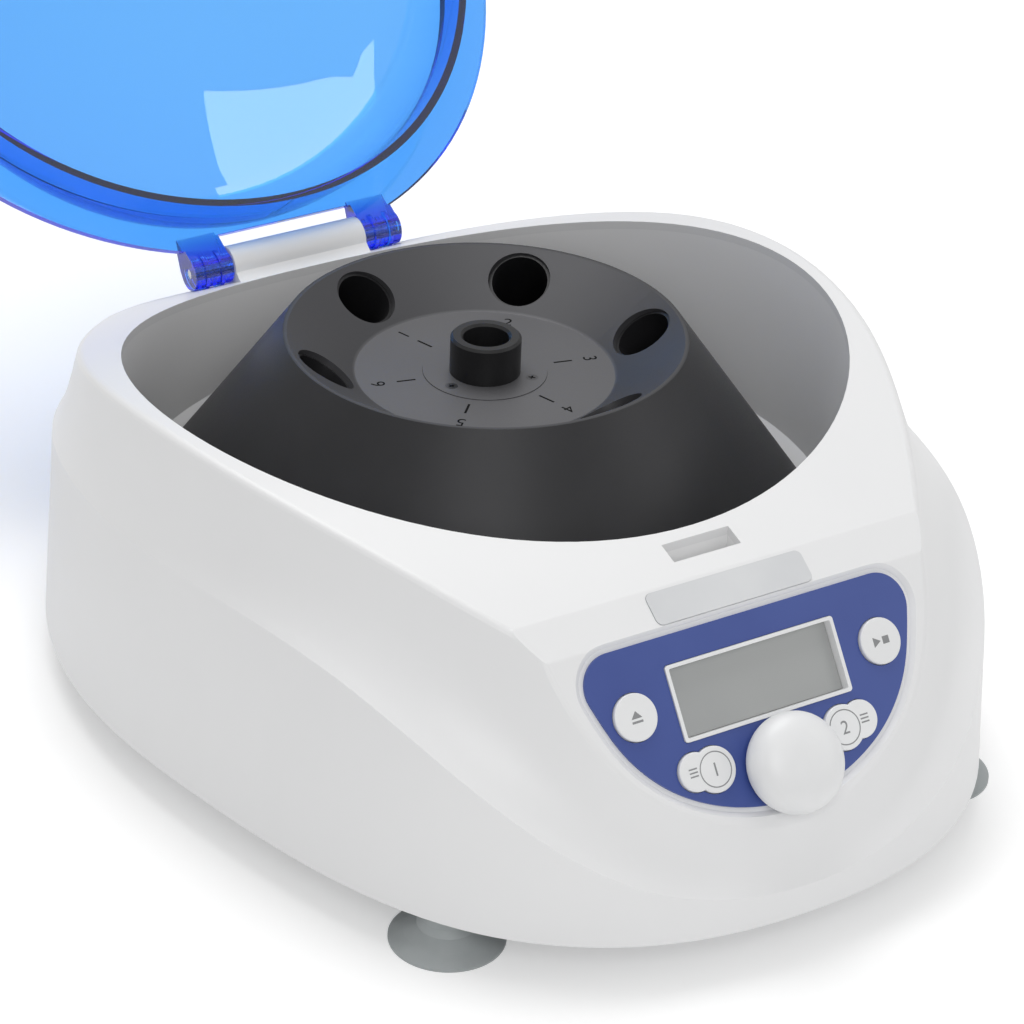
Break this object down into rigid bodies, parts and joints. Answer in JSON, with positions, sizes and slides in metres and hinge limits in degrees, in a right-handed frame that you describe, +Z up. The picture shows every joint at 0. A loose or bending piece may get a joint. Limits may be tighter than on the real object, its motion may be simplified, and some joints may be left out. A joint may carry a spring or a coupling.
{
  "type": "low-speed centrifuge",
  "caption": "Small bench centrifuge: oval white housing on suction feet, angled tube rotor, hinged clear blue lid, control panel with display and knob",
  "frame": {"origin": "middle of the bounding box at bench level, with the lid open as drawn", "axes": "+X to the right of a person in front, -Y towards that person, +Z up"},
  "size_m": [0.309, 0.5552, 0.3315],
  "materials": {
    "white_abs": "satin moulded white",
    "silver_label": "matt silver grey",
    "chamber_liner": "smooth light grey",
    "rotor_black": "dark anodised, satin",
    "collar_black": "near black, moulded",
    "pocket_black": "black, satin",
    "steel": "turned, bright",
    "zinc_screw": "zinc plated",
    "base_sheet": "light grey powder coat",
    "motor_shell": "black lacquer",
    "foot_rubber": "matt grey",
    "damper_rubber": "black, matt",
    "overlay_blue": "printed film, satin",
    "display_grey": "unlit display window",
    "white_button": "satin white",
    "board_green": "solder mask",
    "lid_blue": "clear blue polycarbonate",
    "black_plastic": "black, moulded",
    "capacitor_sleeve": "dark blue sleeve",
    "heat_sink_alu": "mill finish",
    "copper_coil": "zinc frame"
  },
  "bodies": {
    "base": {"housing": "white_abs", "name_plate": "silver_label", "chamber_bowl": "chamber_liner", "bowl_standoffs": "steel", "shaft_boot": "damper_rubber", "base_pan": "base_sheet", "base_screws": "zinc_screw", "motor_plate": "steel", "motor_can": "motor_shell", "motor_bearings": "steel", "control_overlay": "overlay_blue", "display_bezel": "white_button", "display_module": "display_grey", "control_board": "board_green", "encoder": "steel", "latch_housing": "chamber_liner", "solenoid": "copper_coil", "lid_switch": "black_plastic", "hinge_pin": "steel", "power_inlet": "black_plastic", "switch_frame": "black_plastic", "power_board": "board_green", "capacitors": "capacitor_sleeve", "heat_sink": "heat_sink_alu", "foot_1": "foot_rubber", "foot_2": "foot_rubber", "foot_3": "foot_rubber", "foot_4": "foot_rubber", "damper_1": "damper_rubber", "damper_2": "damper_rubber", "damper_3": "damper_rubber"},
    "rotor": {"rotor_body": "rotor_black", "hub_disc": "rotor_black", "hub_screws": "zinc_screw", "hub_collar": "collar_black", "lock_nut": "steel", "drive_shaft": "steel", "tube_sleeve_1": "pocket_black", "tube_sleeve_2": "pocket_black", "tube_sleeve_3": "pocket_black", "tube_sleeve_4": "pocket_black", "tube_sleeve_5": "pocket_black", "tube_sleeve_6": "pocket_black"},
    "lid": {"lid_shell": "lid_blue", "lid_striker": "steel", "striker_screws": "zinc_screw"},
    "speed_knob": {"knob": "white_button", "encoder_shaft": "steel"},
    "door_key": {"door_button": "white_button"},
    "start_key": {"start_button": "white_button"},
    "program_key_1": {"program_button_1": "white_button"},
    "program_key_2": {"program_button_2": "white_button"},
    "latch": {"latch_bar": "steel"},
    "mains_rocker": {"switch_rocker": "black_plastic"}
  },
  "joints": [
    {"name": "lid_hinge", "type": "hinge", "parent": "base", "child": "lid", "pos_m": [0, 0.08036, 0.1055], "axis": [1, 0, 0], "range_deg": [0, 128.8]},
    {"name": "rotor_spin", "type": "hinge", "parent": "base", "child": "rotor", "pos_m": [0, -0.06264, 0.1], "axis": [0, 0, 1], "continuous": true},
    {"name": "knob_turn", "type": "hinge", "parent": "base", "child": "speed_knob", "pos_m": [0, -0.25655, 0.06224], "axis": [0, -0.8161, 0.5779], "continuous": true},
    {"name": "door_press", "type": "slide", "parent": "base", "child": "door_key", "axis": [0, 0.8161, -0.5779], "range_m": [0, 0.0008], "stiffness_N_per_m": 400},
    {"name": "start_press", "type": "slide", "parent": "base", "child": "start_key", "axis": [0, 0.8161, -0.5779], "range_m": [0, 0.0008], "stiffness_N_per_m": 400},
    {"name": "program_press_1", "type": "slide", "parent": "base", "child": "program_key_1", "axis": [0, 0.8161, -0.5779], "range_m": [0, 0.0008], "stiffness_N_per_m": 400},
    {"name": "program_press_2", "type": "slide", "parent": "base", "child": "program_key_2", "axis": [0, 0.8161, -0.5779], "range_m": [0, 0.0008], "stiffness_N_per_m": 400},
    {"name": "latch_slide", "type": "slide", "parent": "base", "child": "latch", "axis": [0, 1, 0], "range_m": [0, 0.007]},
    {"name": "mains_tilt", "type": "hinge", "parent": "base", "child": "mains_rocker", "pos_m": [-0.008, 0.08796, 0.036], "axis": [-1, 0, 0], "range_deg": [0, 24]}
  ]
}
